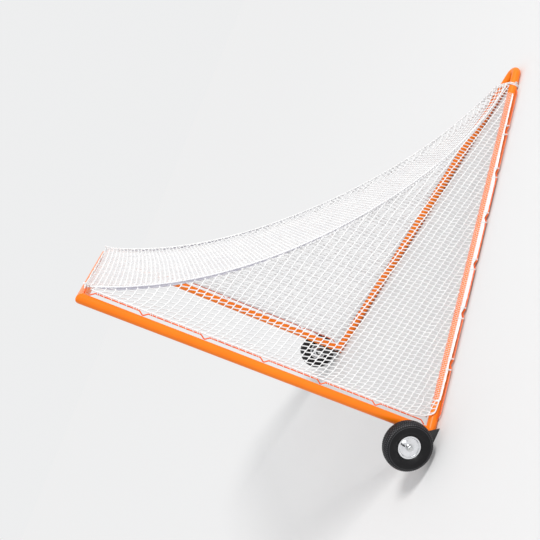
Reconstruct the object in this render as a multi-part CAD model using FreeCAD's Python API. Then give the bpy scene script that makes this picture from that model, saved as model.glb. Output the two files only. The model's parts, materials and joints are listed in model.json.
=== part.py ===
import FreeCAD, Part
import math
import os

os.makedirs("parts", exist_ok=True)
V = FreeCAD.Vector

# ---------------------------------------------------------------------------
# Field goal with a square mouth, a V-shaped ground base and two transport
# wheels. +Z is up, X runs along the goal line, +Y points out of the mouth.
# The origin is at the centre of the footprint, on the ground. All in mm.
# ---------------------------------------------------------------------------

# mouth and base
MOUTH_W = 1828.8            # 6 ft between the posts
MOUTH_H = 1828.8            # 6 ft from the ground to the crossbar
DEPTH = 2133.6              # 7 ft from the goal line to the point where the base centre lines cross
TUBE_OD = 50.8              # 2 in round steel tube
TUBE_WALL = 3.0
CORNER_ROUND = 9.0          # weld dressed round on the outside of the top corners

# rounded nose of the base
NOSE_R = 40.0               # centre-line radius of the bend
JOINT_BACK = 140.0          # base bars end this far from the crossing point
SPIGOT_L = 70.0
NOSE_BOLT_BACK = 168.0      # through-bolts, from the crossing point
M8 = 4.0                    # M8 shank radius
M8_HOLE = 4.4

# lacing rails: a thin rod that runs off the tube and dips to it every foot
ROD_R = 3.2
RAIL_GAP = 16.5             # clear gap between rod and tube between the dips
RAIL_PITCH = 304.8
RAIL_RAMP = 22.0            # length over which the rod dips back to the tube
RAIL_BEND = 9.0

# net
NET_T = 4.0
SAG = 290.0                 # how far the seams hang below a straight line
ROPE_R = 3.5

# wheels
AXLE_Y = 85.0               # in front of the posts' centre line
AXLE_Z = 150.0
WHEEL_X = 1030.0            # centre plane of the tyre
TYRE_R = 128.0
TYRE_W = 82.0
TYRE_C = 92.0               # radius of the section's centre
RIM_R = 58.0                # outside of the rim's bead flange
AXLE_R = 7.94               # 5/8 in axle
BRACKET_T = 6.0

R = TUBE_OD / 2.0
RI = R - TUBE_WALL
XP = MOUTH_W / 2.0 + R      # post centre line
ZC = MOUTH_H + R            # crossbar centre line
LBAR = math.hypot(XP, DEPTH)
CU, SU = XP / LBAR, DEPTH / LBAR   # base bar direction, inwards and backwards
HALF = math.atan2(XP, DEPTH)

# the origin is the centre of the footprint
NOSE_TIP = DEPTH - (NOSE_R / math.sin(HALF) - NOSE_R) + R
Y_FRONT = AXLE_Y + TYRE_R
Y0 = -(Y_FRONT - NOSE_TIP) / 2.0


def save(name, shape):
    s = shape.copy()
    s.translate(V(0, Y0, 0))
    if len(s.Solids) == 1:
        s = s.Solids[0]
    assert s.isValid(), name
    s.exportStep("parts/" + name + ".step")
    bb = s.BoundBox
    print("%-28s solids %2d  vol %10.1f  x %8.1f %8.1f  y %8.1f %8.1f  z %7.1f %7.1f" % (
        name, len(s.Solids), s.Volume, bb.XMin, bb.XMax, bb.YMin, bb.YMax, bb.ZMin, bb.ZMax))


def mirror(shape):
    return shape.mirror(V(0, 0, 0), V(1, 0, 0))


def both(left_name, right_name, shape):
    save(left_name, shape)
    save(right_name, mirror(shape))


def cyl(p, d, r, h):
    return Part.makeCylinder(r, h, p, d)


def tube(p, d, h, ro=R, ri=RI):
    return cyl(p, d, ro, h).cut(cyl(p, d, ri, h))


def half_space(p, n, size=6000.0):
    """A large block on the side of the plane that n points away from."""
    pl = Part.makePlane(size, size)
    pl.translate(V(-size / 2, -size / 2, 0))
    blk = pl.extrude(V(0, 0, size))
    rot = FreeCAD.Rotation(V(0, 0, 1), n)
    blk.Placement = FreeCAD.Placement(p, rot)
    return blk


def revolve_profile(pts, axis_p, axis_d):
    """Closed profile of (axial, radial) points turned about an axis parallel to X."""
    poly = [V(axis_p.x + a * axis_d, axis_p.y, axis_p.z + r) for a, r in pts]
    poly.append(poly[0])
    f = Part.Face(Part.makePolygon(poly))
    return f.revolve(axis_p, V(1, 0, 0), 360)


def rounded_path(pts, bend):
    """Straight runs joined by tangent arcs."""
    pts = [V(p) for p in pts]
    radii = bend if isinstance(bend, (list, tuple)) else [bend] * (len(pts) - 2)
    edges, last = [], pts[0]
    for i in range(1, len(pts) - 1):
        a = (pts[i - 1] - pts[i]).normalize()
        b = (pts[i + 1] - pts[i]).normalize()
        half = a.getAngle(b) / 2.0
        t = radii[i - 1] / math.tan(half)
        p1, p2 = pts[i] + a * t, pts[i] + b * t
        mid_dir = (a + b).normalize()
        c = pts[i] + mid_dir * (radii[i - 1] / math.sin(half))
        m = c - mid_dir * radii[i - 1]
        edges.append(Part.LineSegment(last, p1).toShape())
        edges.append(Part.Arc(p1, m, p2).toShape())
        last = p2
    edges.append(Part.LineSegment(last, pts[-1]).toShape())
    return Part.Wire(edges)


def sweep(path, r):
    """Round bar along a path of lines and arcs."""
    e = path.OrderedEdges[0]
    p = e.valueAt(e.FirstParameter)
    d = e.tangentAt(e.FirstParameter)
    prof = Part.Wire([Part.makeCircle(r, p, d)])
    s = path.makePipeShell([prof], True, False)
    if s.ShapeType != "Solid":
        s = Part.Solid(s)
    want = math.pi * r * r * path.Length
    assert abs(s.Volume - want) < 0.02 * want, ("sweep volume", s.Volume, want)
    return s


def rail(start, along, away, dips):
    """Scalloped lacing rod: start is on the tube's centre line, along the tube's
    direction, away the direction in which the rod stands off. It touches the
    tube at each of the dips."""
    near, far = R + ROD_R, R + ROD_R + RAIL_GAP
    pts = [start + along * dips[0] + away * near]
    for a, b in zip(dips[:-1], dips[1:]):
        pts.append(start + along * (a + RAIL_RAMP) + away * far)
        pts.append(start + along * (b - RAIL_RAMP) + away * far)
        if b != dips[-1]:
            pts.append(start + along * b + away * near)
    pts.append(start + along * dips[-1] + away * near)
    return sweep(rounded_path(pts, RAIL_BEND), ROD_R)


# ---------------------------------------------------------------------------
# Steel frame
# ---------------------------------------------------------------------------
foot = V(-XP, 0, R)
top = V(-XP, 0, ZC)
d_bar = V(CU, -SU, 0)              # left base bar, from the foot to the nose
n_bar = V(-SU, -CU, 0)             # its outward normal
z_up = V(0, 0, 1)

mitre_foot = V(-d_bar.x, -d_bar.y, 1).normalize()    # post side of the foot mitre
mitre_top = V(-1, 0, -1).normalize()                 # post side of the top mitre

bracket_bolt_y = 11.5
bracket_bolt_z = (33.0, 58.0)
bolt_holes = None
for bz in bracket_bolt_z:
    h = cyl(V(-XP - 60, bracket_bolt_y, bz), V(1, 0, 0), M8_HOLE, 120)
    bolt_holes = h if bolt_holes is None else bolt_holes.fuse(h)

post = tube(V(-XP, 0, -60), z_up, ZC + 120)
post = post.common(half_space(foot, mitre_foot)).common(half_space(top, mitre_top))
# dressed weld: the outer corner is rounded
corner = Part.makeBox(200, 200, 200, V(-XP - R, -100, ZC + R - 200))
ce = [e for e in corner.Edges if abs(e.CenterOfMass.x + XP + R) < 1e-3 and abs(e.CenterOfMass.z - ZC - R) < 1e-3]
corner = corner.makeFillet(CORNER_ROUND, ce)
keep_low = Part.makeBox(400, 400, 2600, V(-XP - 200, -200, -400)).cut(
    Part.makeBox(400, 400, 500, V(-XP - 200, -200, ZC + R - 200 + 0.0)))
post = post.common(keep_low.fuse(corner)).cut(bolt_holes)
both("left_post", "right_post", post)

xbar = tube(V(-XP - 120, 0, ZC), V(1, 0, 0), 2 * XP + 240)
n2 = V(1, 0, 1).normalize()
xbar = xbar.common(half_space(top, n2)).common(half_space(V(XP, 0, ZC), V(-1, 0, 1).normalize()))
trim = corner.fuse(Part.makeBox(2 * XP + 2 * R - 300, 300, 300, V(-XP - R + 150, -150, ZC - 150)))
trim = trim.fuse(mirror(corner))
xbar = xbar.common(trim)
save("crossbar", xbar)

bar_end = LBAR - JOINT_BACK
bar = tube(foot - d_bar * 120, d_bar, bar_end + 120)
bar = bar.common(half_space(foot, mitre_foot * -1.0))
nose_bolt_u = LBAR - NOSE_BOLT_BACK
pn = foot + d_bar * nose_bolt_u
nose_hole = cyl(pn - n_bar * 60, n_bar, M8_HOLE, 120)
bar = bar.cut(nose_hole)
both("left_base_bar", "right_base_bar", bar)

# nose: one bent tube with a spigot in each base bar
tan_len = NOSE_R / math.tan(HALF)
cross_pt = V(0, -DEPTH, R)
p_l1 = cross_pt - d_bar * JOINT_BACK
p_l2 = cross_pt - d_bar * tan_len
d_bar_r = V(-CU, -SU, 0)
p_r1 = cross_pt - d_bar_r * JOINT_BACK
p_r2 = cross_pt - d_bar_r * tan_len
c_nose = V(0, -DEPTH + NOSE_R / math.sin(HALF), R)
p_mid = c_nose + V(0, -NOSE_R, 0)


def nose_part(r):
    s1 = cyl(p_l1, d_bar, r, (p_l2 - p_l1).Length)
    s2 = cyl(p_r1, d_bar_r, r, (p_r2 - p_r1).Length)
    circ = Part.Face(Part.Wire([Part.makeCircle(r, p_l2, d_bar)]))
    ang = 180.0 - 2 * math.degrees(HALF)
    t = circ.revolve(c_nose, V(0, 0, 1), ang)
    if abs(t.common(s2).Volume) > 1.0:
        t = circ.revolve(c_nose, V(0, 0, 1), -ang)
    return s1.fuse(t).fuse(s2)


nose = nose_part(R).cut(nose_part(RI))
for p, d in ((p_l1, d_bar), (p_r1, d_bar_r)):
    nose = nose.fuse(tube(p, d, 14.0, RI + 0.6, RI - 3.2))
    nose = nose.fuse(tube(p - d * SPIGOT_L, d, SPIGOT_L + 10.0, RI - 0.2, RI - 3.2))
nose = nose.cut(nose_hole).cut(mirror(nose_hole))
nose = nose.removeSplitter()
save("base_nose", nose)


def hexagon(p, d, across, h):
    rr = across / math.sqrt(3.0)
    pts = [V(rr * math.cos(math.radians(60 * i)), rr * math.sin(math.radians(60 * i)), 0) for i in range(7)]
    pts[6] = pts[0]
    s = Part.Face(Part.makePolygon(pts)).extrude(V(0, 0, h))
    s.Placement = FreeCAD.Placement(p, FreeCAD.Rotation(V(0, 0, 1), d))
    return s


def bolt(p, d, r, length, across, head_h, chamfer=True):
    """Hex bolt: p is under the head, d points along the shank."""
    head = hexagon(p - d * head_h, d, across, head_h)
    if chamfer:
        cone = Part.makeCone(across / 2.0 * 0.98, across / 2.0 * 0.98 + head_h * 1.7, head_h, p - d * head_h, d)
        head = head.common(cone)
    return head.fuse(cyl(p, d, r, length)).removeSplitter()


def nut(p, d, r, across, h):
    body = hexagon(p, d, across, h)
    return body.cut(cyl(p - d, d, r, h + 2))


# nose bolts: head outside, nut inside the V, each on a shaped washer
def saddle(p, d, r_out, t, hole):
    """Washer with a flat outer face, cut to the tube on its inner one."""
    w = cyl(p - d * 3.0, d, r_out, 3.0 + t)
    w = w.cut(cyl(foot + d_bar * (nose_bolt_u - 60), d_bar, R, 120))
    return w.cut(cyl(p - d * 10, d, hole, 30))


p_out = pn + n_bar * (R + 1.6)
p_in = pn - n_bar * (R + 1.6)
sw = Part.makeCompound([
    saddle(pn + n_bar * R, n_bar, 9.0, 1.6, M8_HOLE),
    saddle(pn - n_bar * R, n_bar * -1.0, 9.0, 1.6, M8_HOLE)])
nb = bolt(p_out, n_bar * -1.0, M8, 2 * R + 3.2 + 10.0, 13.0, 5.3)
nn = nut(p_in, n_bar * -1.0, M8 + 0.05, 13.0, 6.5)
save("nose_bolts", Part.makeCompound([nb, mirror(nb)]))
save("nose_nuts", Part.makeCompound([nn, mirror(nn)]))
save("nose_saddle_washers", Part.makeCompound(list(sw.Solids) + list(mirror(sw).Solids)))

# ---------------------------------------------------------------------------
# Lacing rails
# ---------------------------------------------------------------------------
back = V(0, -1, 0)
down = V(0, 0, -1)
# the dips are a foot apart, counted from the post's top end
post_dips = [0.0] + [(k + 1) * RAIL_PITCH - TUBE_OD for k in range(5)] + [MOUTH_H - 76.0]
post_rail = rail(V(-XP, 0, MOUTH_H), down, back, post_dips)
both("left_post_lacing_rail", "right_post_lacing_rail", post_rail)
save("crossbar_lacing_rail", rail(V(-MOUTH_W / 2.0, 0, ZC), V(1, 0, 0), back, [k * RAIL_PITCH for k in range(7)]))

# the base rails stand off the outside of the bars, low down
BR_Z = -10.4
br_near = math.sqrt((R + ROD_R) ** 2 - BR_Z ** 2)
first_u, last_u = 76.0, 76.0 + 7 * RAIL_PITCH - 95.0
n_dip = 7
pts = []
pitch = (last_u - first_u) / n_dip
for k in range(n_dip):
    a, b = first_u + k * pitch, first_u + (k + 1) * pitch
    if k == 0:
        pts.append(foot + d_bar * a + n_bar * br_near + V(0, 0, BR_Z))
    pts.append(foot + d_bar * (a + RAIL_RAMP) + n_bar * (br_near + RAIL_GAP) + V(0, 0, BR_Z))
    pts.append(foot + d_bar * (b - RAIL_RAMP) + n_bar * (br_near + RAIL_GAP) + V(0, 0, BR_Z))
    pts.append(foot + d_bar * b + n_bar * br_near + V(0, 0, BR_Z))
base_rail = sweep(rounded_path(pts, RAIL_BEND), ROD_R)
both("left_base_lacing_rail", "right_base_lacing_rail", base_rail)

# ---------------------------------------------------------------------------
# Net: two side panels in the vertical planes over the base bars, one back panel
# ---------------------------------------------------------------------------
# seam in side-plane coordinates (u along the base bar from the post, z)
U_TOP, Z_TOP = 66.0, MOUTH_H + 8.0
U_END, Z_END = LBAR - 178.0, TUBE_OD + 18.0
sl = math.hypot(U_END - U_TOP, Z_TOP - Z_END)
s_dir = ((U_END - U_TOP) / sl, (Z_END - Z_TOP) / sl)
s_in = (s_dir[1], -s_dir[0])       # into the panel: back towards the foot
if s_in[1] > 0:
    s_in = (-s_in[0], -s_in[1])


def seam(t):
    w = 4.0 * t * (1.0 - t) * (1.0 - 0.1 * (t - 0.5) + (t - 0.5) ** 2)
    return (U_TOP + (U_END - U_TOP) * t + s_in[0] * SAG * w,
            Z_TOP + (Z_END - Z_TOP) * t + s_in[1] * SAG * w)


N_STRIP = 8
seam_pts = [seam(k / float(N_STRIP)) for k in range(N_STRIP + 1)]
U_FRONT = 62.0
Z_LOW = TUBE_OD + 1.0


def on_side(u, z, off=0.0):
    q = V(-XP, 0, 0) + d_bar * u + n_bar * off
    return V(q.x, q.y, z)


outline = [(U_FRONT, Z_LOW), (U_FRONT, seam_pts[0][1])] + seam_pts[1:] + [(U_END, Z_LOW)]
poly = [on_side(u, z, -NET_T / 2.0) for u, z in outline]
poly.append(poly[0])
side = Part.Face(Part.makePolygon(poly)).extrude(n_bar * NET_T)
both("net_left_panel", "net_right_panel", side)

# back panel: strips that are level in X, between the seams
rows = []
for k, (u, z) in enumerate(seam_pts):
    q = on_side(u, z, -NET_T / 2.0 - 1.0)
    rows.append([abs(q.x), q.y, z])
rows[0][0] = XP - U_FRONT * CU - 6.0
rows[0][1] = -(R + RAIL_GAP + 2 * ROD_R + 3.0)
rows[0][2] = ZC - 2.0
norms = []
for k in range(len(rows)):
    a, b = rows[max(k - 1, 0)], rows[min(k + 1, len(rows) - 1)]
    t = V(0, b[1] - a[1], b[2] - a[2]).normalize()
    norms.append(V(0, t.z, -t.y))          # up and back
back_panel = None
for k in range(len(rows) - 1):
    quad = []
    for j in (k, k + 1):
        w, y, z = rows[j]
        lo = V(0, y, z)
        hi = lo + norms[j] * NET_T
        quad.append([V(-w, lo.y, lo.z), V(w, lo.y, lo.z), V(w, hi.y, hi.z), V(-w, hi.y, hi.z)])
    a, b = quad

    def face(*p):
        pp = list(p) + [p[0]]
        return Part.Face(Part.makePolygon(pp))
    fs = [face(*a), face(*b)]
    fs.append(face(a[0], a[1], b[1], b[0]))
    fs.append(face(a[2], a[3], b[3], b[2]))
    for i in (1, 3):                       # the ends twist a little, so each is two triangles
        fs.append(face(a[i], a[(i + 1) % 4], b[(i + 1) % 4]))
        fs.append(face(a[i], b[(i + 1) % 4], b[i]))
    sh = Part.Shell(fs)
    so = Part.Solid(sh)
    if so.Volume < 0:
        so.reverse()
    back_panel = so if back_panel is None else back_panel.fuse(so)
save("net_back_panel", back_panel)

# ---------------------------------------------------------------------------
# Ropes of the net's edge, and its lashings
# ---------------------------------------------------------------------------
rp = R + ROPE_R + 0.6
edge_y = -(R + RAIL_GAP + 2 * ROD_R + ROPE_R + 0.7)     # just behind the rails
edge_x = 6.5
zr = 6.0
ro = math.sqrt(rp * rp - zr * zr) + 0.4
pts = [V(-XP + edge_x, edge_y, MOUTH_H - 6.0), V(-XP + edge_x, edge_y, 150.0),
       foot + d_bar * 66.0 + n_bar * 14.0 + V(0, 0, 60.0),
       foot + d_bar * 92.0 + n_bar * (ro + 2.5) + V(0, 0, 14.0),
       foot + d_bar * 170.0 + n_bar * ro + V(0, 0, zr),
       foot + d_bar * (LBAR - 250.0) + n_bar * ro + V(0, 0, zr)]
border = sweep(rounded_path(pts, [60.0, 25.0, 25.0, 60.0]), ROPE_R)
both("left_border_rope", "right_border_rope", border)
save("top_border_rope", cyl(V(-MOUTH_W / 2.0 + 12, edge_y, ZC + 6.3), V(1, 0, 0), ROPE_R, MOUTH_W - 24))

lash = []
for k, yy in enumerate((150.0, 158.5)):
    half_w = yy * math.tan(HALF) + 18.0
    lash.append(cyl(V(-half_w, -DEPTH + yy, TUBE_OD + ROPE_R + 0.4), V(1, 0, 0), ROPE_R, 2 * half_w))
save("nose_lashing", Part.makeCompound(lash))

knots = []
for sx in (-1, 1):
    knots.append(Part.makeSphere(8.0, V(sx * (MOUTH_W / 2.0 - 26.0), edge_y - 9.7, ZC + 14.6)))
save("corner_knots", Part.makeCompound(knots))

# ---------------------------------------------------------------------------
# Wheel brackets
# ---------------------------------------------------------------------------
XB = XP + R + 0.2                   # inner face of the bracket plate
ax = V(0, AXLE_Y, AXLE_Z)
boss = 24.0


def plate_outline():
    b0, b1 = (-42.0, 0.0), (34.0, 0.0)
    c = (AXLE_Y, AXLE_Z)

    def tangent(p, side):
        dx, dy = c[0] - p[0], c[1] - p[1]
        dist = math.hypot(dx, dy)
        ang = math.atan2(dy, dx)
        off = math.asin(boss / dist)
        a = ang + side * off
        tl = math.sqrt(dist * dist - boss * boss)
        return (p[0] + tl * math.cos(a), p[1] + tl * math.sin(a))
    t0 = tangent(b0, +1)
    t1 = tangent(b1, -1)
    d = math.hypot(*ax_dir(b0, b1, c))
    m = (c[0] + boss * ax_dir(b0, b1, c)[0] / d, c[1] + boss * ax_dir(b0, b1, c)[1] / d)

    def P(q):
        return V(-XB, q[0], q[1])
    return Part.Wire([
        Part.LineSegment(P(b0), P(t0)).toShape(),
        Part.Arc(P(t0), P(m), P(t1)).toShape(),
        Part.LineSegment(P(t1), P(b1)).toShape(),
        Part.LineSegment(P(b1), P(b0)).toShape()])


def ax_dir(b0, b1, c):
    mx, mz = (b0[0] + b1[0]) / 2.0, (b0[1] + b1[1]) / 2.0
    return (c[0] - mx, c[1] - mz)


bracket = Part.Face(plate_outline()).extrude(V(-BRACKET_T, 0, 0))
for bz in bracket_bolt_z:
    bracket = bracket.cut(cyl(V(-XB - 20, bracket_bolt_y, bz), V(1, 0, 0), M8_HOLE, 40))
bracket = bracket.cut(cyl(V(-XB - 20, AXLE_Y, AXLE_Z), V(1, 0, 0), AXLE_R + 0.2, 40))
both("left_wheel_bracket", "right_wheel_bracket", bracket)

# inside the post, a clamp block cut to the tube, flat where the nuts bear on it
XI = XP - R - 0.2
clamp = Part.makeBox(16.0, 13.4, 44.0, V(-XI - 16.0, 7.4, 24.5))
clamp = clamp.cut(cyl(V(-XP, 0, -10), z_up, R, 200))
for bz in bracket_bolt_z:
    clamp = clamp.cut(cyl(V(-XI - 30, bracket_bolt_y, bz), V(1, 0, 0), M8_HOLE, 60))
both("left_clamp_block", "right_clamp_block", clamp)

bb, bn, bw = [], [], []
for bz in bracket_bolt_z:
    p = V(-XB - BRACKET_T - 1.6, bracket_bolt_y, bz)
    w = cyl(p, V(1, 0, 0), 8.0, 1.6).cut(cyl(p - V(1, 0, 0), V(1, 0, 0), M8_HOLE, 4))
    w2 = cyl(V(-XI, bracket_bolt_y + 1.2, bz), V(1, 0, 0), 8.0, 1.6).cut(
        cyl(V(-XI - 1.0, bracket_bolt_y, bz), V(1, 0, 0), M8_HOLE, 4))
    b = bolt(p, V(1, 0, 0), M8, (XB - XI) + BRACKET_T + 3.2 + 10.0, 13.0, 5.3)
    n = nut(V(-XI + 1.6, bracket_bolt_y, bz), V(1, 0, 0), M8 + 0.05, 13.0, 6.5)
    bb += [b, mirror(b)]
    bn += [n, mirror(n)]
    bw += [w, mirror(w), w2, mirror(w2)]
save("bracket_bolts", Part.makeCompound(bb))
save("bracket_nuts", Part.makeCompound(bn))
save("bracket_washers", Part.makeCompound(bw))

# axle: a bolt whose head is inside the bracket, with its locknut outside the hub
X_PLATE_OUT = XB + BRACKET_T
HUB_IN, HUB_OUT = WHEEL_X - 33.0, WHEEL_X + 33.0
XO = V(-1, 0, 0)


def at(x):
    return V(-x, AXLE_Y, AXLE_Z)


axle = bolt(at(XB), XO, AXLE_R, HUB_OUT + 4.0 + 15.0 - XB, 24.0, 10.0)
both("left_axle", "right_axle", axle)
jam = nut(at(X_PLATE_OUT), XO, AXLE_R + 0.05, 24.0, 9.0)
both("left_axle_jam_nut", "right_axle_jam_nut", jam)
sp_len = HUB_IN - (X_PLATE_OUT + 9.0) - 0.4
spacer = cyl(at(X_PLATE_OUT + 9.0), XO, 12.0, sp_len).cut(cyl(at(X_PLATE_OUT + 8.0), XO, AXLE_R + 0.1, sp_len + 2))
both("left_axle_spacer", "right_axle_spacer", spacer)
wsh = cyl(at(HUB_OUT + 0.4), XO, 13.0, 2.4).cut(cyl(at(HUB_OUT), XO, AXLE_R + 0.1, 4))
both("left_axle_washer", "right_axle_washer", wsh)
an = nut(at(HUB_OUT + 2.8), XO, AXLE_R + 0.05, 24.0, 11.0)
an = an.common(Part.makeCone(11.8 + 11 * 1.7, 11.8, 11.0, at(HUB_OUT + 2.8), XO).fuse(cyl(at(HUB_OUT + 2.8), XO, 20, 4)))
both("left_axle_locknut", "right_axle_locknut", an)


# ---------------------------------------------------------------------------
# Wheels, turned about the axle. Axial positions are from the tyre's centre
# plane, positive outwards.
# ---------------------------------------------------------------------------
def wheel_profile(pts):
    poly = [V(-(WHEEL_X + a), AXLE_Y, AXLE_Z + r) for a, r in pts]
    poly.append(poly[0])
    return Part.Face(Part.makePolygon(poly)).revolve(at(0), V(1, 0, 0), 360)


def arc_pts(cx, cy, rx, ry, a0, a1, n):
    return [(cx + rx * math.cos(math.radians(a0 + (a1 - a0) * i / n)),
             cy + ry * math.sin(math.radians(a0 + (a1 - a0) * i / n))) for i in range(n + 1)]


# tyre: closed at the tread, open at the beads
SH = 32.0
outer_c = arc_pts(0, TYRE_C, TYRE_W / 2.0, TYRE_R - TYRE_C, -25, 205, 24)
inner_c = arc_pts(0, TYRE_C - 1.0, TYRE_W / 2.0 - 6.0, TYRE_R - TYRE_C - 7.0, 205, -25, 22)
tyre_pts = [(25.0, 59.5), (29.0, 62.0)] + outer_c + [(-29.0, 62.0), (-25.0, 59.5),
            (-25.0, 53.2), (-20.0, 53.2), (-20.0, 62.0)] + inner_c + [(20.0, 62.0), (20.0, 53.2), (25.0, 53.2)]
tyre = wheel_profile(tyre_pts)
both("left_tyre", "right_tyre", tyre)

# inner tube inside the tyre
it_o = arc_pts(0, 88.0, 30.0, 28.5, 0, 360, 28)[:-1]
it = wheel_profile(it_o)
it_i = arc_pts(0, 88.0, 28.0, 26.5, 0, 360, 28)[:-1]
it = it.cut(wheel_profile(it_i))
both("left_inner_tube", "right_inner_tube", it)

# rim: two pressed halves that meet on the centre plane
T = 2.0


def rim_half(s):
    p = [(0.0, 53.0), (17.0, 53.0), (19.6, 53.0), (25.2, 53.0), (25.2, RIM_R), (27.2, RIM_R), (27.2, 51.0),
         (24.0, 51.0), (20.0, 47.0), (17.0, 30.0), (19.0, 22.0), (21.0, 17.7),
         (19.0, 17.7), (17.0, 21.0), (15.0, 30.0), (17.8, 47.5), (19.0, 51.0), (0.0, 51.0)]
    return wheel_profile([(s * a, r) for a, r in p])


both("left_rim_outer", "right_rim_outer", rim_half(1.0))
both("left_rim_inner", "right_rim_inner", rim_half(-1.0))

# hub tube with a bearing pressed into each end
hub = wheel_profile([(-33, 17.5), (33, 17.5), (33, 14.2), (21, 14.2), (21, 12.5), (-21, 12.5), (-21, 14.2), (-33, 14.2)])
both("left_hub", "right_hub", hub)
br = []
for s in (1.0, -1.0):
    br.append(wheel_profile([(s * 21.0, 14.1), (s * 33.0, 14.1), (s * 33.0, 8.0), (s * 21.0, 8.0)]))
brc = Part.makeCompound(br)
both("left_bearings", "right_bearings", brc)

# valve stem through the outer half of the rim
vp = V(-(WHEEL_X + 10.0), AXLE_Y, AXLE_Z + 50.5)
vd = V(-1.0, 0, -0.55).normalize()
vs = cyl(V(-(WHEEL_X + 19.5), AXLE_Y, AXLE_Z + 38.0), vd, 3.6, 17.0)
both("left_valve_stem", "right_valve_stem", vs)

print("LBAR %.1f half angle %.2f  Y0 %.2f  nose tip %.1f" % (LBAR, math.degrees(HALF), Y0, NOSE_TIP))
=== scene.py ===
import bpy
import json
import math
import random
import numpy as np
from mathutils import Vector, Matrix


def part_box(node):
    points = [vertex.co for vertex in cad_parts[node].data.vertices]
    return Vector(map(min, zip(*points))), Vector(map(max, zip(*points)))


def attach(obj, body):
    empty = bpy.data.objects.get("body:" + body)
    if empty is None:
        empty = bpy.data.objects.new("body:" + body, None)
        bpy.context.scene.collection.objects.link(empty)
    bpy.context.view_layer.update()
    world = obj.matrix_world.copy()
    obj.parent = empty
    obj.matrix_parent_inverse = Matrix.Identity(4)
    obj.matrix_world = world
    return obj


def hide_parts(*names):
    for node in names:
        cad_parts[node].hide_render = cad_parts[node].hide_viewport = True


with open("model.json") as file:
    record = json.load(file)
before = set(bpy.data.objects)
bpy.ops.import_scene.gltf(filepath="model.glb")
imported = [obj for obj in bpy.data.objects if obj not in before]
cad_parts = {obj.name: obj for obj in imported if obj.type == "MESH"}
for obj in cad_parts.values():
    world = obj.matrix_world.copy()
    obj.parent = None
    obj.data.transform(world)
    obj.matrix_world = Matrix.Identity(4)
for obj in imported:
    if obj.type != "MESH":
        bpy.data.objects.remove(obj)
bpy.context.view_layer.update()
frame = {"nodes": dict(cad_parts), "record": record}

rng = np.random.default_rng(7)
random.seed(7)

# --------------------------------------------------------------------------
# Sizes, in metres, as in the part's source
# --------------------------------------------------------------------------
IN = 0.0254
MOUTH = 1.8288
DEPTH = 2.1336
R = 0.0254
ROD_R = 0.0032
RAIL_GAP = 0.0165
PITCH = 0.3048
RAMP = 0.022
XP = MOUTH / 2 + R
ZC = MOUTH + R
LBAR = math.hypot(XP, DEPTH)
CU, SU = XP / LBAR, DEPTH / LBAR
HALF = math.atan2(XP, DEPTH)
NOSE_R = 0.040
AXLE_Y, AXLE_Z, WHEEL_X, TYRE_R, TYRE_W, TYRE_C = 0.085, 0.150, 1.030, 0.128, 0.082, 0.092
NOSE_TIP = DEPTH - (NOSE_R / math.sin(HALF) - NOSE_R) + R
Y0 = -((AXLE_Y + TYRE_R) - NOSE_TIP) / 2.0
SAG = 0.290
ROPE_R = 0.0035


# --------------------------------------------------------------------------
# Materials
# --------------------------------------------------------------------------
def new_mat(name):
    m = bpy.data.materials.new(name)
    m.use_nodes = True
    nt = m.node_tree
    return m, nt, nt.nodes["Principled BSDF"]


def n_coord(nt, scale):
    tc = nt.nodes.new("ShaderNodeTexCoord")
    mp = nt.nodes.new("ShaderNodeMapping")
    mp.inputs["Scale"].default_value = scale if hasattr(scale, "__len__") else (scale,) * 3
    nt.links.new(tc.outputs["Object"], mp.inputs["Vector"])
    return mp.outputs["Vector"]


def n_noise(nt, vec, scale, detail=4.0, rough=0.55):
    n = nt.nodes.new("ShaderNodeTexNoise")
    n.inputs["Scale"].default_value = scale
    n.inputs["Detail"].default_value = detail
    n.inputs["Roughness"].default_value = rough
    nt.links.new(vec, n.inputs["Vector"])
    return n.outputs["Fac"]


def n_ramp(nt, fac, stops):
    r = nt.nodes.new("ShaderNodeValToRGB")
    el = r.color_ramp.elements
    while len(el) < len(stops):
        el.new(0.5)
    for e, (p, c) in zip(el, stops):
        e.position = p
        e.color = c if len(c) == 4 else (*c, 1.0)
    nt.links.new(fac, r.inputs["Fac"])
    return r.outputs["Color"]


def n_range(nt, fac, lo, hi, a=0.0, b=1.0):
    m = nt.nodes.new("ShaderNodeMapRange")
    m.inputs["From Min"].default_value = a
    m.inputs["From Max"].default_value = b
    m.inputs["To Min"].default_value = lo
    m.inputs["To Max"].default_value = hi
    nt.links.new(fac, m.inputs["Value"])
    return m.outputs["Result"]


def n_bump(nt, bsdf, height, strength, distance):
    b = nt.nodes.new("ShaderNodeBump")
    b.inputs["Strength"].default_value = strength
    b.inputs["Distance"].default_value = distance
    nt.links.new(height, b.inputs["Height"])
    nt.links.new(b.outputs["Normal"], bsdf.inputs["Normal"])


def mat_paint():
    m, nt, b = new_mat("frame_paint_orange")
    v = n_coord(nt, 1.0)
    big = n_noise(nt, v, 3.5, 3.0)
    fine = n_noise(nt, v, 260.0, 2.0)
    col = n_ramp(nt, big, [(0.25, (0.84, 0.170, 0.003)), (0.55, (0.88, 0.190, 0.004)), (0.85, (0.90, 0.215, 0.006))])
    nt.links.new(col, b.inputs["Base Color"])
    nt.links.new(n_range(nt, fine, 0.27, 0.42), b.inputs["Roughness"])
    n_bump(nt, b, fine, 0.12, 0.0004)
    b.inputs["Coat Weight"].default_value = 0.06
    b.inputs["Coat Roughness"].default_value = 0.2
    b.inputs["Specular IOR Level"].default_value = 0.25
    return m


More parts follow.
